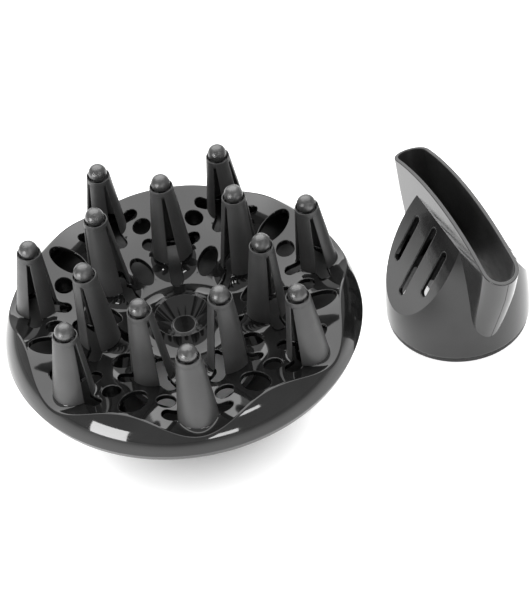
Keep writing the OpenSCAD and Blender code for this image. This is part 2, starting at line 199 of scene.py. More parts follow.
STEEL.node_tree.nodes["Principled BSDF"].inputs["Metallic"].default_value = 1.0


# ---------------------------------------------------------------- mesh building


class Skin:
    """Collects points, normals and faces in millimetres and makes one smooth mesh of them."""

    def __init__(self):
        self.points, self.normals, self.faces, self.slots = [], [], [], []

    def loop(self, points, normals):
        first = len(self.points)
        self.points += [tuple(p) for p in points]
        self.normals += [tuple(Vector(n).normalized()) for n in normals]
        return list(range(first, len(self.points)))

    def strip(self, low, high, slot=0):
        """Quads between two rows that run anticlockwise from above.

        With the high row above the low one they face outwards.
        """
        count = len(low)
        for i in range(count):
            j = (i + 1) % count
            self.faces.append((low[i], low[j], high[j], high[i]))
            self.slots.append(slot)

    def rows(self, rows, slot=0):
        """Strips between all the rows, from the lowest up."""
        for low, high in zip(rows, rows[1:]):
            self.strip(low, high, slot)

    def face(self, corners):
        self.faces.append(tuple(corners))
        self.slots.append(0)

    def make(self, name, body, replaced, materials, place=Matrix.Identity(4)):
        mesh = bpy.data.meshes.new(name)
        mesh.from_pydata([Vector(p) * MM for p in self.points], [], self.faces)
        for material in materials:
            mesh.materials.append(material)
        mesh.polygons.foreach_set("material_index", self.slots)
        mesh.shade_smooth()
        mesh.normals_split_custom_set_from_vertices(self.normals)
        mesh.transform(place)
        mesh.update()
        piece = bpy.data.objects.new(name, mesh)
        bpy.context.scene.collection.objects.link(piece)
        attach(piece, body)
        for node in replaced:
            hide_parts(node)


def profile_normals(profile):
    """Normals of a line of (r, z) points whose outside is on its left; a corner is shared."""
    normals = []
    for i in range(len(profile)):
        a = profile[max(i - 1, 0)]
        b = profile[min(i + 1, len(profile) - 1)]
        dr, dz = b[0] - a[0], b[1] - a[1]
        size = math.hypot(dr, dz) or 1.0
        normals.append((-dz / size, dr / size))
    return normals


def rounded(points, radius, steps=4):
    """A line of (r, z) corners with each inner corner rounded off."""
    line = [points[0]]
    for before, corner, after in zip(points, points[1:], points[2:]):
        a, b, c = Vector(before), Vector(corner), Vector(after)
        back, on = a - b, c - b
        reach = min(radius, 0.45 * back.length, 0.45 * on.length)
        p, q = b + back.normalized() * reach, b + on.normalized() * reach
        for k in range(steps + 1):
            t = k / steps
            line.append(tuple(p * (1 - t) ** 2 + b * 2 * t * (1 - t) + q * t * t))
    line.append(points[-1])
    return line


def refine(points, step):
    """The same line with points no further apart than step."""
    line = [points[0]]
    for a, b in zip(points, points[1:]):
        count = max(1, math.ceil(math.dist(a, b) / step))
        line += [
            (a[0] + (b[0] - a[0]) * k / count, a[1] + (b[1] - a[1]) * k / count)
            for k in range(1, count + 1)
        ]
    return line


def revolve(skin, profile, around, slot=0, centre=(0.0, 0.0)):
    """Turns a line of (r, z) points about a vertical axis; the outside is on the line's left."""
    rows = []
    for (r, z), (nr, nz) in zip(profile, profile_normals(profile)):
        points, normals = [], []
        for k in range(around):
            c, s = math.cos(2 * math.pi * k / around), math.sin(2 * math.pi * k / around)
            points.append((centre[0] + r * c, centre[1] + r * s, z))
            normals.append((nr * c, nr * s, nz))
        rows.append(skin.loop(points, normals))
    skin.rows(rows[::-1], slot)


def polar(r, angle):
    return (r * math.cos(angle), r * math.sin(angle))


def arc(cx, cy, r, start, end, count):
    """Points on a circle from one angle to another, in degrees."""
    angles = [math.radians(start + (end - start) * k / count) for k in range(count + 1)]
    return [(cx + r * math.cos(a), cy + r * math.sin(a)) for a in angles]


def flat_mesh(loops, inside=()):
    """Points and triangles of a flat sheet that holds to the edges of closed loops."""
    points, edges = [], []
    for line in loops:
        first = len(points)
        points += line
        edges += [(first + i, first + (i + 1) % len(line)) for i in range(len(line))]
    points += inside
    found = delaunay_2d_cdt([Vector(p) for p in points], edges, [], 0, 1e-6)
    return [tuple(p) for p in found[0]], found[2]


def middle(points, corners):
    """Centre of a triangle."""
    return [sum(points[i][axis] for i in corners) / 3 for axis in (0, 1)]


# ---------------------------------------------------------------- dish surface


def smoothstep(t):
    t = min(max(t, 0.0), 1.0)
    return t * t * (3 - 2 * t)


def smooth_min(a, b, k):
    """The smaller of two heights, blended where they are within k of each other."""
    h = max(k - abs(a - b), 0.0) / k
    return min(a, b) - h * h * k / 4


def cone(r):
    """Height of the basin's slope up to a lobe."""
    return LOBE_Z - BASIN_SLOPE * (LOBE_R - r)


def along_finger(r):
    """Height in a finger's direction: the slope, and a nearly level floor under it."""
    return smooth_min(cone(r), FLAT_Z + FLAT_SLOPE * (r - FLAT_R), FLAT_BLEND)


def ridge(phi):
    """Radius of the seven-lobed ridge; phi is from an outer finger."""
    return RIDGE_R + RIDGE_WAVE * math.cos(FINGERS * phi)


def land(r):
    """Height of the rolled rim outside the ridge."""
    return ROLL_Z + math.sqrt(ROLL_R**2 - (r - ROLL_X) ** 2)


def dish(r, phi):
    """Height of the dish between the crater and the ridge; phi is from an outer finger."""
    if r < FILLET_END:
        return FILLET_Z - math.sqrt(FILLET_R**2 - (r - FILLET_X) ** 2)
    edge = ridge(phi)
    lobe = (1 - math.cos(FINGERS * phi)) / 2
    pull = smoothstep((r - WAVE_START) / WAVE_RUN)

    def mixed(radius):
        on_finger = along_finger(radius * (1 + ((RIDGE_R + RIDGE_WAVE) / edge - 1) * pull))
        on_lobe = cone(radius * (1 + (LOBE_R / edge - 1) * pull))
        return on_finger + (on_lobe - on_finger) * lobe

    return mixed(r) + (land(edge) - mixed(edge)) * (r / edge) ** LAND_BLEND


def finger_axes():
    """Every finger: its kind, number, azimuth, and root centre."""
    for kind, turn in (("outer", 0.0), ("inner", -PITCH / 2)):
        sizes = OUTER if kind == "outer" else INNER
        for k in range(FINGERS):
            azimuth = -math.pi / 2 + turn + PITCH * k
            x, y = polar(sizes["root_r"], azimuth)
            yield kind, k + 1, sizes, azimuth, x, y


ROOTS = list(finger_axes())


def plate_height(x, y):
    """Height of the plate's upper face, feet included."""
    r = math.hypot(x, y)
    z = dish(r, math.atan2(y, x) + math.pi / 2)
    for _, _, sizes, azimuth, cx, cy in ROOTS:
        away = math.hypot(x - cx, y - cy)
        if away < FOOT_R + sizes["flare"]:
            outwards = (x - cx) * math.cos(azimuth) + (y - cy) * math.sin(azimuth)
            lean = (sizes["root_r"] - sizes["tip_r"]) / (sizes["tip_z"] - sizes["root_z"])
            top = sizes["root_z"] + outwards * lean
            t = max(0.0, (away - FOOT_R) / sizes["flare"])
            z = max(z, z + (top - z) * (1 - math.sqrt(1 - (1 - t) ** 2)))
    return z


def plate_normal(x, y):
    step = 0.04
    dx = plate_height(x + step, y) - plate_height(x - step, y)
    dy = plate_height(x, y + step) - plate_height(x, y - step)
    return Vector((-dx, -dy, 2 * step)).normalized()


# ---------------------------------------------------------------- openings in the plate


def capsule_gap(x, y, ax, ay, bx, by):
    """Distance from a point to the line from a to b."""
    dx, dy = bx - ax, by - ay
    size = dx * dx + dy * dy
    t = min(max(((x - ax) * dx + (y - ay) * dy) / size, 0.0), 1.0)
    return math.hypot(x - ax - t * dx, y - ay - t * dy)


class Oval:
    """Round hole, or an ellipse whose long axis is radial."""

    def __init__(self, r, azimuth, half_length, half_width, floor=None):
        self.azimuth, self.a, self.b, self.floor = azimuth, half_length, half_width, floor
        self.centre = polar(r, azimuth)
        self.reach = half_length + HOLE_EDGE

    def gap(self, x, y):
        """About the distance to the edge, right at the edge itself."""
        px, py = turned((x - self.centre[0], y - self.centre[1]), -self.azimuth, (0, 0))
        share = math.hypot(px / self.a, py / self.b)
        return (share - 1) * share / max(math.hypot(px / self.a**2, py / self.b**2), 1e-9)

    def outline(self, grow):
        line = []
        for k in range(48):
            c, s = math.cos(2 * math.pi * k / 48), math.sin(2 * math.pi * k / 48)
            size = math.hypot(self.b * c, self.a * s)
            line.append(
                (c * (self.a + grow * self.b / size), s * (self.b + grow * self.a / size))
            )
        return [turned(p, self.azimuth, self.centre) for p in line]


class FingerOpening:
    """Air passage under a finger and the three slots that leave it."""

    def __init__(self, azimuth, x, y, slots):
        self.azimuth, self.centre, self.slots = azimuth, (x, y), [math.radians(a) for a in slots]
        self.half, self.passage, self.floor = SLOT_ROOT / 2, PASSAGE_R, None
        self.reach = SLOT_REACH

    def gap(self, x, y):
        cx, cy = self.centre
        gaps = [math.hypot(x - cx, y - cy) - self.passage]
        run = self.reach - self.half
        for a in self.slots:
            ex = cx + run * math.cos(self.azimuth + a)
            ey = cy + run * math.sin(self.azimuth + a)
            gaps.append(capsule_gap(x, y, cx, cy, ex, ey) - self.half)
        return min(gaps)

    def outline(self, grow):
        w, p, run = self.half + grow, self.passage + grow, self.reach - self.half
        side = math.asin(w / p)
        line = []
        for a, after in zip(self.slots, self.slots[1:] + self.slots[:1]):
            slot = refine([(math.sqrt(p * p - w * w), -w), (run, -w)], 0.35)
            slot = slot[:-1] + arc(run, 0, w, -90, 90, 18)
            slot += refine([(run, w), (math.sqrt(p * p - w * w), w)], 0.35)[1:]
            line += [turned(q, a, (0, 0)) for q in slot]
            gap = (after - a) % (2 * math.pi) - 2 * side
            count = max(3, round(gap * 8))
            line += [polar(p, a + side + gap * k / count) for k in range(1, count)]
        return [turned(q, self.azimuth, self.centre) for q in line]


def turned(point, angle, offset):
    """A point turned about the origin and then moved."""
    c, s = math.cos(angle), math.sin(angle)
    return (offset[0] + point[0] * c - point[1] * s, offset[1] + point[0] * s + point[1] * c)


def plate_openings():
    openings = []
    for _, _, sizes, azimuth, x, y in ROOTS:
        openings.append(FingerOpening(azimuth, x, y, sizes["slots"]))
    for k in range(FINGERS):
        azimuth = -math.pi / 2 + PITCH * k
        openings.append(Oval(azimuth=azimuth, **INNER_OVAL))
        openings.append(Oval(azimuth=azimuth - PITCH / 2, **OUTER_OVAL))
        for side in (-1, 1):
            floor = RECESS_Z if (k, side) in SCREW_SITES else None
            at = azimuth + side * ROUND_TURN
            openings.append(Oval(ROUND_R, at, ROUND_HOLE_R, ROUND_HOLE_R, floor))
    return openings


OPENINGS = plate_openings()


def clear_of_openings(x, y, margin):
    """True where a point is at least margin from every opening's edge."""
    for hole in OPENINGS:
        cx, cy = hole.centre
        reach = hole.reach + margin
        if abs(x - cx) < reach and abs(y - cy) < reach and hole.gap(x, y) < margin:
            return False
    return True


# ---------------------------------------------------------------- the dish


def plate_grid():
    """Points of the plate between its openings, on rings, with more of them round the feet."""
    points = []
    r = INNER_EDGE + 1.0
    while r < RIDGE_R + RIDGE_WAVE:
        count = round(2 * math.pi * r / GRID_AROUND)
        for k in range(count):
            phi = 2 * math.pi * (k + 0.5 * (round(r * 10) % 2)) / count
            x, y = polar(r, phi)
            inside = r < ridge(phi + math.pi / 2) - FOLD_IN - 0.4
            off_feet = all(
                math.hypot(x - cx, y - cy) > FOOT_R + sizes["flare"]
                for _, _, sizes, _, cx, cy in ROOTS
            )
            if inside and off_feet and clear_of_openings(x, y, HOLE_EDGE + 0.5):
                points.append((x, y))
        r += GRID_OUT
    for _, _, sizes, _, cx, cy in ROOTS:
        for share in FLARE_RINGS:
            away = share * sizes["flare"]
            for k in range(72):
                a = 2 * math.pi * k / 72
                x = cx + (FOOT_R + away) * math.cos(a)
                y = cy + (FOOT_R + away) * math.sin(a)
                edge = ridge(math.atan2(y, x) + math.pi / 2) - FOLD_IN - 0.3
                if math.hypot(x, y) < edge and clear_of_openings(x, y, HOLE_EDGE + 0.2):
                    points.append((x, y))
    return points


def add_sheet(skin):
    """The plate's upper face between the crater, the ridge and the openings."""
    inner = [polar(INNER_EDGE, a) for a in DISH_TURNS[::2]]
    outer = [polar(ridge(a + math.pi / 2) - FOLD_IN, a) for a in DISH_TURNS]
    holes = [hole.outline(HOLE_EDGE) for hole in OPENINGS]
    flat, triangles = flat_mesh([inner, outer] + holes, plate_grid())
    raised = [(x, y, plate_height(x, y)) for x, y in flat]
    sheet = skin.loop(raised, [plate_normal(x, y) for x, y in flat])
    crater_edge = INNER_EDGE * math.cos(DISH_TURNS[1])
    for corners in triangles:
        x, y = middle(flat, corners)
        ridge_edge = ridge(math.atan2(y, x) + math.pi / 2) - FOLD_IN + 0.01
        within = crater_edge < math.hypot(x, y) < ridge_edge
        if within and clear_of_openings(x, y, HOLE_EDGE):
            skin.face([sheet[i] for i in corners])


def ridge_rows(skin):
    """Rows of the crisp fold between the sheet and the rolled land."""
    rows = []
    for k in range(9):
        t = k / 8
        points, normals = [], []
        for a in DISH_TURNS:
            r = ridge(a + math.pi / 2)
            rim = r + FOLD_OUT
            low = Vector((*polar(r - FOLD_IN, a), 0))
            low.z = plate_height(low.x, low.y)
            top = Vector((*polar(r, a), land(r)))
            high = Vector((*polar(rim, a), land(rim)))
            points.append(low * (1 - t) ** 2 + top * 2 * t * (1 - t) + high * t * t)
            out = (rim - ROLL_X) / ROLL_R
            face = Vector((*polar(out, a), math.sqrt(1 - out * out)))
            normals.append(plate_normal(low.x, low.y) * (1 - t) + face * t)
        rows.append(skin.loop(points, normals))
    return rows


def land_rows(skin):
    """Rows of the rolled land, from the fold to the lip."""
    rows = []
    lip = math.asin((DISH_R - ROLL_X) / ROLL_R) - 0.02
    for k in range(1, 25):
        points, normals = [], []
        for a in DISH_TURNS:
            start = math.asin((ridge(a + math.pi / 2) + FOLD_OUT - ROLL_X) / ROLL_R)
            tilt = start + (lip - start) * k / 24
            r = ROLL_X + ROLL_R * math.sin(tilt)
            points.append((*polar(r, a), ROLL_Z + ROLL_R * math.cos(tilt)))
            normals.append((*polar(math.sin(tilt), a), math.cos(tilt)))
        rows.append(skin.loop(points, normals))
    return rows


def lip_rows(skin):
    """Rows of the dish's outer lip: out, then under."""
    rows = []
    for r, z, nr, nz in (
        (DISH_R - 0.02, LIP_Z + 0.35, 1, 0),
        (DISH_R - 0.15, LIP_Z + 0.1, 0.7, -0.7),
        (DISH_R - 0.5, LIP_Z, 0, -1),
        (DISH_R - 1.9, LIP_Z, 0, -1),
    ):
        points = [(*polar(r, a), z) for a in DISH_TURNS]
        rows.append(skin.loop(points, [(*polar(nr, a), nz) for a in DISH_TURNS]))
    return rows


def add_crater(skin):
    """Disc, straight wall and the fillet that meets the sheet."""
    start = math.degrees(math.atan2(CRATER_Z - FILLET_Z, CRATER_R + 0.6 - FILLET_X))
    low = math.degrees(math.acos((INNER_EDGE - FILLET_X) / FILLET_R))
    fillet = arc(FILLET_X, FILLET_Z, FILLET_R, start % 360, 360 - low, 24)
    disc = [(0.001, CRATER_FLOOR + DISC_RISE), (DISC_R, CRATER_FLOOR + DISC_RISE)]
    wall = [(DISC_R + DISC_STEP, CRATER_FLOOR), (CRATER_R, CRATER_Z)]
    profile = rounded(disc + wall + fillet, CRATER_ROUND)
    revolve(skin, refine(profile, 0.5), len(DISH_TURNS) // 2)


def add_opening(skin, hole):
    """Rounded edge of an opening, its wall going down, and its floor where it has one."""
    brim, rim = hole.outline(HOLE_EDGE), hole.outline(0.0)
    heights = [plate_height(x, y) for x, y in brim]
    up = [plate_normal(x, y) for x, y in brim]
    inwards = [Vector((q[0] - p[0], q[1] - p[1], 0)).normalized() for p, q in zip(brim, rim)]
    rows = []
    for k in range(5):
        bend = math.radians(22.5 * k)
        line = hole.outline(HOLE_EDGE * (1 - math.sin(bend)))
        drop = HOLE_EDGE * (1 - math.cos(bend))
        points = [(x, y, z - drop) for (x, y), z in zip(line, heights)]
        normals = [u * math.cos(bend) + v * math.sin(bend) for u, v in zip(up, inwards)]
        rows.append(skin.loop(points, normals))
    if hole.floor is None:
        bottoms = [[z - drop for z in heights] for drop in HOLE_WALL]
    else:
        bottoms = [[hole.floor + rise] * len(rim) for rise in RECESS_WALL]
    for bottom in bottoms:
        rows.append(skin.loop([(x, y, z) for (x, y), z in zip(rim, bottom)], inwards))
    skin.rows(rows)
    if hole.floor is not None:
        skin.face(skin.loop([(x, y, hole.floor) for x, y in rim], [(0, 0, 1)] * len(rim)))


def build_dish():
    skin = Skin()
    add_sheet(skin)
    rows = ridge_rows(skin) + land_rows(skin) + lip_rows(skin)
    for low, high in zip(rows, rows[1:]):
        skin.strip(high, low)
    add_crater(skin)
    for hole in OPENINGS:
        add_opening(skin, hole)
    replaced = ["front_plate", "plate_hub", "screw_wells"]
    skin.make("dish", "diffuser", replaced, [GLOSS])


# ---------------------------------------------------------------- fingers and tips


def stand(sizes, azimuth):
    """Place of a finger: root at the ring, axis leaning to its ball."""
    lean = math.atan2(sizes["tip_r"] - sizes["root_r"], sizes["tip_z"] - sizes["root_z"])
    root = Matrix.Translation(Vector((sizes["root_r"], 0, sizes["root_z"])) * MM)
    return Matrix.Rotation(azimuth, 4, "Z") @ root @ Matrix.Rotation(lean, 4, "Y")


def finger_length(sizes):
    return math.hypot(sizes["tip_r"] - sizes["root_r"], sizes["tip_z"] - sizes["root_z"])


def panel(skin, start, end, top):
    """One panel of a finger, between the slots at two directions in radians."""
    slot_top = top - CUP_BAND
    levels = [(0.0, PANEL_FOOT, -0.9), (0.09, 0.09, -0.4), (PANEL_FOOT, 0.0, PANEL_LEAN)]
    for k in range(1, 25):
        levels.append((PANEL_FOOT + (slot_top - PANEL_FOOT) * k / 24, 0.0, PANEL_LEAN))
    across = max(10, round(math.degrees(end - start) / 4))
    dips = [PANEL_EDGE, 0.08] + [0.0] * (across + 1) + [0.08, PANEL_EDGE]
    tilts = [1.2, 0.6] + [0.0] * (across + 1) + [-0.6, -1.2]
    rows = []
    for z, inset, down in levels:
        r = ROOT_R + (TOP_R - ROOT_R) * z / top
        half = (SLOT_ROOT + (SLOT_TOP - SLOT_ROOT) * z / slot_top) / 2 + inset
        points, normals = [], []
        for radius, facing in ((r - inset, 1), (r - PANEL_WALL, -1)):
            gap = math.asin(half / radius)
            edge = PANEL_EDGE / radius
            a, b = start + gap, end - gap
            spans = [a, a + edge * 0.3, a + edge]
            spans += [a + edge + (b - a - 2 * edge) * k / across for k in range(1, across)]
            spans += [b - edge, b - edge * 0.3, b]
            for angle, dip, tilt in list(zip(spans, dips, tilts))[::facing]:
                points.append((*polar(radius - dip * facing, angle), z))
                out = polar(facing, angle - tilt * facing)
                normals.append((*out, down if facing > 0 else 0))
        rows.append(skin.loop(points, normals))
    skin.rows(rows)
    skin.face(rows[0][::-1])


def add_cup(skin, length, top):
    """Solid band above the slots, and the cup that holds the ball."""
    band = top - CUP_BAND
    band_r = ROOT_R + (TOP_R - ROOT_R) * band / top
    line = [
        (band_r - PANEL_WALL, band),
        (band_r, band),
        (TOP_R, top),
        (CUP_R, top),
        (CUP_R, length - CUP_DEPTH),
        (0.01, length - CUP_DEPTH),
    ]
    revolve(skin, refine(rounded(line[::-1], LIP_ROUND, 5), 0.8), 64)


def build_finger(kind, number, sizes, azimuth):
    skin = Skin()
    length = finger_length(sizes)
    top = length - LIP_DROP
    slots = [math.radians(a) for a in sizes["slots"]]
    for a, b in zip(slots, slots[1:] + [slots[0] + 2 * math.pi]):
        panel(skin, a, b, top)
    add_cup(skin, length, top)
    name = f"finger_{kind}_{number}"
    place = stand(sizes, azimuth)
    skin.make(name + "_look", "diffuser", [name], [PANEL], place)


def build_tip(kind, number, sizes, azimuth):
    ball = Skin()
    length = finger_length(sizes)
    foot = length - CUP_DEPTH
    line = [(STEM_R, foot), (STEM_NECK_R, foot + STEM_NECK_Z)]
    line += arc(0, length, BALL_R, -60, 89.9, 44)
    revolve(ball, line[::-1], 64)
    name = f"tip_{kind}_{number}"
    place = stand(sizes, azimuth)
    ball.make(name + "_look", "diffuser", [name], [TIP], place)


# ---------------------------------------------------------------- rear shell


def build_rear_shell():
    """Funnel and socket, outside then inside, and the bosses that the screws go into."""
    skin = Skin()
    neck = arc(NECK_X, NECK_Z, NECK_R, 180, 115, 16)
    neck_r, neck_z = neck[-1]
    rim_r = DISH_R - 1.0
    rim_low = (rim_r, neck_z + (rim_r - neck_r) * FUNNEL_SLOPE)
    seat = LIP_Z - 0.05
    outside = [(BORE_R, 0.0), (SOCKET_R, 0.0), *neck, rim_low, (DISH_R - 0.3, seat)]
    inner_neck = arc(NECK_X, NECK_Z, NECK_R + FUNNEL_WALL, 115, 158, 12)
    neck_r, neck_z = inner_neck[0]
    wall_r = DISH_R - 3.4
    wall_low = (wall_r, neck_z + (wall_r - neck_r) * INNER_SLOPE)
    inside = [outside[-1], (DISH_R - 3.2, seat), wall_low, *inner_neck]
    inside += [(BORE_R, SOCKET_TOP), (BORE_R, 0.0)]
    for slot, line in enumerate((outside, inside)):
        revolve(skin, refine(rounded(line, 0.3), 2.0)[::-1], 360, slot)
    for sector, side in SCREW_SITES:
        at = polar(ROUND_R, -math.pi / 2 + sector * PITCH + side * ROUND_TURN)
        revolve(skin, [(BOSS_R, BOSS_HIGH), (BOSS_R, BOSS_LOW)], 32, centre=at)
    replaced = ["rear_funnel", "rear_socket"]
    skin.make("rear_shell_look", "diffuser", replaced, [RIM, INSIDE])


# ---------------------------------------------------------------- nozzle


def mould_line(h):
    """Half length of the mouth's fan at a height: a curve that steepens towards the lip."""
    knots = ((4, 28.6), (16, 33.2), (28, 38.0), (40, 42.5))
    knots += ((47, 45.0), (54, 46.9), (62, 48.8), (74, 50.8))
    for (h0, s0), (h1, s1) in zip(knots, knots[1:]):
        if h <= h1:
            return s0 + (s1 - s0) * (h - h0) / (h1 - h0)
    return knots[-1][1]


def dome_radius(h):
    """Radius of the barrel-shaped body."""
    return DOME_R - BARREL_R + math.sqrt(BARREL_R**2 - (h - BARREL_Z) ** 2)


def scoop(h):
    """Distance of a scoop's slanting face from the nozzle's middle plane."""
    return SCOOP_BASE - SCOOP_SLOPE * h


def arch(s):
    """Height of the mouth's arched lip."""
    return MOUTH_Z - ARCH_R + math.sqrt(ARCH_R**2 - s * s)


def fan_point(turn, h, inset):
    """Point and normal of the fan's level outline: a stadium with slightly stretched ends.

    The turn goes from 0 to 1 round it.
    """
    half = MOUTH_HALF - inset
    end = MOUTH_STRETCH * half
    straight = mould_line(h) - MOUTH_STRETCH * MOUTH_HALF
    length = 2 * straight
    bend = math.pi * half
    total = 2 * length + 2 * bend
    d = turn * total
    if d < length:
        return (straight - d, half), (0, 1)
    d -= length
    if d < bend:
        a = math.pi / 2 + d / half
        return (-straight + end * math.cos(a), half * math.sin(a)), (math.cos(a), math.sin(a))
    d -= bend
    if d < length:
        return (-straight + d, -half), (0, -1)
    a = -math.pi / 2 + (d - length) / half
    return (straight + end * math.cos(a), half * math.sin(a)), (math.cos(a), math.sin(a))


def in_fan(s, n, h, margin):
    """True inside the fan's outline, drawn in by a margin."""
    straight = mould_line(h) - MOUTH_STRETCH * MOUTH_HALF
    past = max(abs(s) - straight, 0.0) / MOUTH_STRETCH
    return math.hypot(past, n) < MOUTH_HALF - margin


def fan_row(skin, share, inset, drop, up, facing=1):
    """One row of the fan; share is the way up to the lip, up is how far its normals turn up."""
    points, normals = [], []
    for k in range(NOZZLE_AROUND):
        h = MOUTH_LOW
        for _ in range(6):
            (s, n), (ns, nn) = fan_point(k / NOZZLE_AROUND, h, inset)
            h = MOUTH_LOW + (arch(s) - drop - MOUTH_LOW) * share
        points.append((s, n, h))
        out = Vector((facing * ns, facing * nn, -facing * MOUTH_LEAN * abs(ns)))
        normals.append(out * (1 - up) + Vector((0, 0, up)))
    return skin.loop(points, normals)


def build_mouth(place):
    """Outside of the fan, its rounded lip, and the inside down to where it gets dark.

    LIP_ROWS gives each row's inset, drop and share of upward normal.
    """
    fan = Skin()
    rows = [fan_row(fan, k / 60, 0.0, LIP_SINK, 0.0) for k in range(61)]
    for inset, drop, up in (*LIP_ROWS, (LIP_FLAT, 0.0, 1.0), (MOUTH_WALL - LIP_FLAT, 0.0, 1.0)):
        rows.append(fan_row(fan, 1.0, inset, drop, up))
    fan.rows(rows)
    inner = [rows[-1]]
    for inset, drop, up in (*LIP_ROWS[::-1], (0.0, LIP_SINK, 0.0)):
        inner.append(fan_row(fan, 1.0, MOUTH_WALL - inset, drop, up, -1))
    for k in range(29, 8, -1):
        inner.append(fan_row(fan, k / 30, MOUTH_WALL, LIP_SINK, 0.0, -1))
    fan.rows(inner, slot=1)
    replaced = ["nozzle_dome", "nozzle_mouth", "nozzle_wings"]
    looks = [NOZZLE_GLOSS, MOUTH]
    fan.make("nozzle_mouth_look", "nozzle_body", replaced, looks, place)


def dome_top(a):
    """Height where the dome ends in one direction: at a scoop, or at the roof."""
    low, high = 10.0, DOME_Z
    if dome_radius(high) * abs(math.sin(a)) > scoop(high):
        for _ in range(40):
            mid = (low + high) / 2
            if dome_radius(mid) * abs(math.sin(a)) > scoop(mid):
                high = mid
            else:
                low = mid
    return high


def add_barrel(dome, turns, tops):
    """Round wall of the dome, tucked in at its foot and open where the fan is; its top row."""
    rows = []
    for j in range(DOME_LEVELS + 1):
        points, normals = [], []
        for a, top in zip(turns, tops):
            h = DOME_LOW + (top - DOME_LOW) * j / DOME_LEVELS
            r = dome_radius(h)
            tuck = max(0.0, (DOME_LOW + TUCK_HIGH - h) / TUCK_HIGH)
            if h < DOME_LOW + TUCK_HIGH:
                r -= TUCK_DEEP * (1 - math.sqrt(1 - tuck**2))
            points.append((*polar(r, a), h))
            down = (h - BARREL_Z) / BARREL_R - (TUCK_DEEP * tuck**2)
            normals.append((math.cos(a), math.sin(a), down))
        rows.append(dome.loop(points, normals))
    for low, high in zip(rows, rows[1:]):
        for i in range(len(turns)):
            j = (i + 1) % len(turns)
            if not in_fan(*dome.points[low[i]], FAN_OVERLAP):
                dome.face((low[i], low[j], high[j], high[i]))
    return [dome.points[i] for i in rows[-1]]


def on_scoop(s, h, side):
    """Point of a scoop's face at a place along it and a height."""
    return Vector((s, side * scoop(h), h))


def add_scoop(dome, edge, side):
    """Slanting face up to the dome's edge and the roof, with three vents; side is 1 or -1."""
    top_half = math.sqrt(dome_radius(DOME_Z) ** 2 - scoop(DOME_Z) ** 2)
    edge = edge[1:-1] if abs(edge[0][0]) > top_half else edge
    start = -1 if edge[0][0] < 0 else 1
    crown = [(start * -top_half * (1 - 2 * k / 40), DOME_Z) for k in range(41)]
    loops = [edge + crown] + [vent_outline(*vent, VENT_EDGE) for vent in VENTS]
    flat, triangles = flat_mesh([[(s, h * SCOOP_RUN) for s, h in line] for line in loops])
    flat = [(s, h / SCOOP_RUN) for s, h in flat]
    out = Vector((0, side, SCOOP_SLOPE)).normalized()
    sheet = dome.loop([on_scoop(s, h, side) for s, h in flat], [out] * len(flat))
    for corners in triangles:
        s, h = middle(flat, corners)
        on_dome = math.hypot(s, scoop(h)) < dome_radius(h) + 0.02
        in_vent = any(vent_gap(s, h, *vent) < VENT_EDGE for vent in VENTS)
        if on_dome and not in_vent:
            dome.face([sheet[i] for i in corners[::-side]])
    for vent in VENTS:
        add_vent(dome, vent, side, out)


def add_vent(dome, vent, side, out):
    """Rounded edge of a vent and its wall going in."""
    brim, rim = vent_outline(*vent, VENT_EDGE), vent_outline(*vent, 0.0)
    steps = []
    for k in range(5):
        bend = math.radians(22.5 * k)
        line = vent_outline(*vent, VENT_EDGE * (1 - math.sin(bend)))
        steps.append((line, VENT_EDGE * (1 - math.cos(bend)), bend))
    steps += [(rim, sink, math.pi / 2) for sink in VENT_WALL]
    rows = []
    for line, sink, bend in steps:
        points, normals = [], []
        for here, p, q in zip(line, brim, rim):
            points.append(on_scoop(*here, side) - out * sink)
            inwards = (on_scoop(*q, side) - on_scoop(*p, side)).normalized()
            normals.append(out * math.cos(bend) + inwards * math.sin(bend))
        rows.append(dome.loop(points, normals))
    for a, b in zip(rows, rows[1:]):
        dome.strip(*((a, b) if side < 0 else (b, a)))


def vent_outline(s, low, high, grow):
    """Rounded slot on the scoop, as (s, h) points; its ends are round up the slope."""
    w = VENT_HALF + grow
    top, bottom = high - VENT_HALF / SCOOP_RUN, low + VENT_HALF / SCOOP_RUN
    turns = [math.pi * k / 12 for k in range(13)]
    up = [bottom + (top - bottom) * k / 24 for k in range(1, 24)]
    down = [top + (bottom - top) * k / 24 for k in range(1, 24)]
    line = [(s + w * math.cos(a), top + w * math.sin(a) / SCOOP_RUN) for a in turns]
    line += [(s - w, h) for h in down]
    turns = [math.pi + a for a in turns]
    line += [(s + w * math.cos(a), bottom + w * math.sin(a) / SCOOP_RUN) for a in turns]
    line += [(s + w, h) for h in up]
    return line


def vent_gap(s, h, centre, low, high):
    """Distance from a point on the scoop to a vent's edge."""
    bottom, top = low * SCOOP_RUN + VENT_HALF, high * SCOOP_RUN - VENT_HALF
    return capsule_gap(s, h * SCOOP_RUN, centre, bottom, centre, top) - VENT_HALF


def build_dome(place):
    dome = Skin()
    turns = [2 * math.pi * k / NOZZLE_AROUND for k in range(NOZZLE_AROUND)]
    tops = [dome_top(a) for a in turns]
    brow = add_barrel(dome, turns, tops)
    for side in (1, -1):
        cut = [top < DOME_Z - 1e-6 and side * math.sin(a) > 0 for a, top in zip(turns, tops)]
        add_scoop(dome, [(p[0], p[2]) for p, is_cut in zip(brow, cut) if is_cut], side)
    dome.make("nozzle_body_look", "nozzle_body", [], [NOZZLE_GLOSS], place)


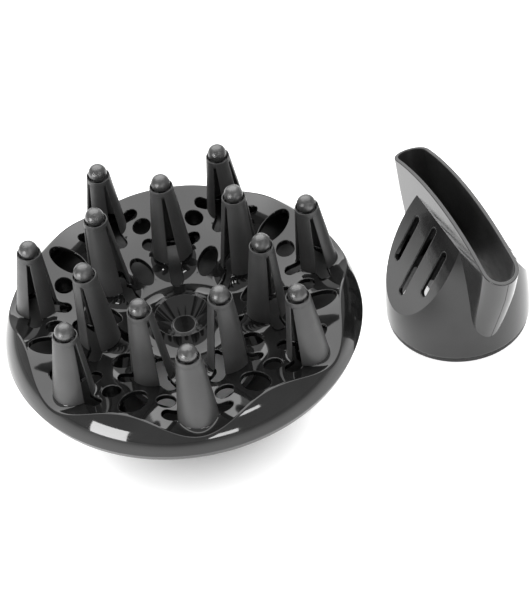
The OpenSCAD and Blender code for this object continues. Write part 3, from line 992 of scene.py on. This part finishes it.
def build_mould_lines(place):
    """Thin bead up each end of the fan, where the mould's halves met."""
    seam = Skin()
    for side in (1, -1):
        rows = []
        for k in range(70):
            h = SEAM_LOW + (arch(SEAM_S) - 1.0 - SEAM_LOW) * k / 69
            s = mould_line(h) + SEAM_OUT
            points, normals = [], []
            for q in range(8):
                a = 2 * math.pi * q / 8
                points.append((side * (s + SEAM_R * math.cos(a)), SEAM_R * math.sin(a), h))
                normals.append((side * math.cos(a), math.sin(a), 0))
            rows.append(seam.loop(points, normals))
        seam.rows(rows)
    seam.make("nozzle_mould_line", "nozzle_body", [], [NOZZLE_GLOSS], place)


def build_collar(place):
    """Grooved ring at the foot, and the sleeve above it that the body turns on."""
    collar = Skin()
    line = [(BORE_R, SLEEVE_Z), (BORE_R, 0.0), (COLLAR_R - 0.3, 0.0), (COLLAR_R, 0.25)]
    for k in range(GROOVES):
        z = GROOVE_LOW + GROOVE_PITCH * k
        line += [(COLLAR_R, z), (COLLAR_R - GROOVE_DEPTH, z + 0.16), (COLLAR_R, z + 0.25)]
    line += [(COLLAR_R, COLLAR_Z - 0.1), (COLLAR_R - 0.1, COLLAR_Z)]
    line += [(SLEEVE_R, COLLAR_Z), (SLEEVE_R, SLEEVE_Z), (BORE_R, SLEEVE_Z)]
    revolve(collar, rounded(line, 0.06, 3)[::-1], 360)
    name = "nozzle_collar"
    collar.make(name + "_look", "nozzle_ring", [name], [COLLAR], place)


def build_nozzle():
    at = Matrix.Translation(Vector((NOZZLE_AT.x, NOZZLE_AT.y, 0)))
    place = at @ Matrix.Rotation(NOZZLE_TURN, 4, "Z")
    build_mouth(place)
    build_dome(place)
    build_mould_lines(place)
    build_collar(place)


def build_screws():
    """The CAD's own screws, in steel."""
    screws = frame["nodes"]["plate_screws"]
    screws.data.materials.clear()
    screws.data.materials.append(STEEL)


# ---------------------------------------------------------------- floor, light and camera

# metres: half the floor, where its painted falloff of light darkens it and to what share, and where
# its painted glow comes in, which whitens the floor's cast shadows
FLOOR_HALF = 6.0
PAINTED_FALLOFF_START, PAINTED_FALLOFF_END, PAINTED_FALLOFF_TO = 0.22, 0.6, 0.3
PAINTED_GLOW_START, PAINTED_GLOW_END, PAINTED_GLOW = 0.035, 0.06, 0.7
WORLD_LIGHT = 0.65
CAMERA_AT = (0.007815, -0.57606, 0.63735)
CAMERA_SENSOR, CAMERA_LENS = 36.0, 130.92
CAMERA_TURN, CAMERA_LIFT, CAMERA_ROLL = (math.radians(a) for a in (-2.782, 45.469, -7.555))


def build_floor():
    """White floor with painted light: a painted falloff darkens it far off, and a painted glow
    whitens its shadows except under the diffuser.
    """
    material, nodes, links, shader = new_material("floor_white")
    mottle = noise(nodes, links, 3.0)
    white = tint(nodes, links, mottle, (0.86,) * 3, (0.9,) * 3)
    where = nodes.new("ShaderNodeTexCoord")
    away = nodes.new("ShaderNodeVectorMath")
    away.operation = "LENGTH"
    links.new(where.outputs["Object"], away.inputs[0])
    # painted falloff of light: the floor's colour and glow darken far from the parts
    painted_falloff = spread(nodes, links, away.outputs["Value"], 1.0, PAINTED_FALLOFF_TO, PAINTED_FALLOFF_START, PAINTED_FALLOFF_END)
    mix = nodes.new("ShaderNodeVectorMath")
    mix.operation = "SCALE"
    links.new(white, mix.inputs[0])
    links.new(painted_falloff, mix.inputs["Scale"])
    links.new(mix.outputs["Vector"], shader.inputs["Base Color"])
    links.new(mix.outputs["Vector"], shader.inputs["Emission Color"])
    # painted glow: emission that whitens the floor's cast shadows, left out under the diffuser,
    # where the floor keeps its real shade
    painted_glow = spread(nodes, links, away.outputs["Value"], 0.0, PAINTED_GLOW, PAINTED_GLOW_START, PAINTED_GLOW_END)
    links.new(painted_glow, shader.inputs["Emission Strength"])
    shader.inputs["Roughness"].default_value = 0.9
    mesh = bpy.data.meshes.new("floor")
    corners = [(x * FLOOR_HALF, y * FLOOR_HALF, 0) for x, y in ((-1, -1), (1, -1), (1, 1), (-1, 1))]
    mesh.from_pydata(corners, [], [(0, 1, 2, 3)])
    mesh.materials.append(material)
    floor = bpy.data.objects.new("floor", mesh)
    bpy.context.scene.collection.objects.link(floor)


def build_world():
    world = bpy.data.worlds.new("studio")
    bpy.context.scene.world = world
    world.use_nodes = True
    background = world.node_tree.nodes["Background"]
    background.inputs["Color"].default_value = (1, 1, 1, 1)
    background.inputs["Strength"].default_value = WORLD_LIGHT
    bpy.context.scene.view_settings.view_transform = "Standard"


def softbox(name, at, aim, size, power):
    """Rectangular light; places and sizes in metres, power in watts."""
    light = bpy.data.lights.new(name, "AREA")
    light.shape = "RECTANGLE"
    light.size, light.size_y = size
    light.energy = power
    lamp = bpy.data.objects.new(name, light)
    lamp.location = at
    lamp.rotation_euler = (Vector(aim) - Vector(at)).to_track_quat("-Z", "Y").to_euler()
    bpy.context.scene.collection.objects.link(lamp)


def build_camera():
    """Camera turned from straight ahead, lifted above the floor and rolled."""
    camera = bpy.data.cameras.new("camera")
    camera.sensor_fit = "HORIZONTAL"
    camera.sensor_width = CAMERA_SENSOR
    camera.lens = CAMERA_LENS
    camera.clip_start = 0.01
    turn, lift, roll = CAMERA_TURN, CAMERA_LIFT, CAMERA_ROLL
    level = math.cos(lift)
    back = Vector((math.sin(turn) * level, -math.cos(turn) * level, math.sin(lift)))
    right = Vector((math.cos(turn), math.sin(turn), 0))
    up = back.cross(right)
    side = right * math.cos(roll) + up * math.sin(roll)
    top = up * math.cos(roll) - right * math.sin(roll)
    facing = Matrix((side, top, back)).transposed().to_4x4()
    rig = bpy.data.objects.new("camera", camera)
    rig.matrix_world = Matrix.Translation(CAMERA_AT) @ facing
    bpy.context.scene.collection.objects.link(rig)
    bpy.context.scene.camera = rig


# ---------------------------------------------------------------- everything, in order

build_dish()
for kind, number, sizes, azimuth, _, _ in ROOTS:
    build_finger(kind, number, sizes, azimuth)
    build_tip(kind, number, sizes, azimuth)
build_rear_shell()
build_nozzle()
build_screws()

build_floor()
build_world()
softbox("overhead", (0.0, 1.0, 1.7), (0.03, 0, 0.05), (3.2, 3.0), 87)
softbox("window_left", (-0.8, -0.66, 0.19), (-0.04, -0.06, 0.05), (0.38, 0.38), 7)
softbox("window_front", (0.2, -1.04, 0.13), (0.0, -0.07, 0.05), (0.3, 0.12), 1.5)
softbox("window_high", (0.44, -0.8, 0.6), (0.02, -0.06, 0.05), (0.24, 0.1), 1.0)
build_camera()
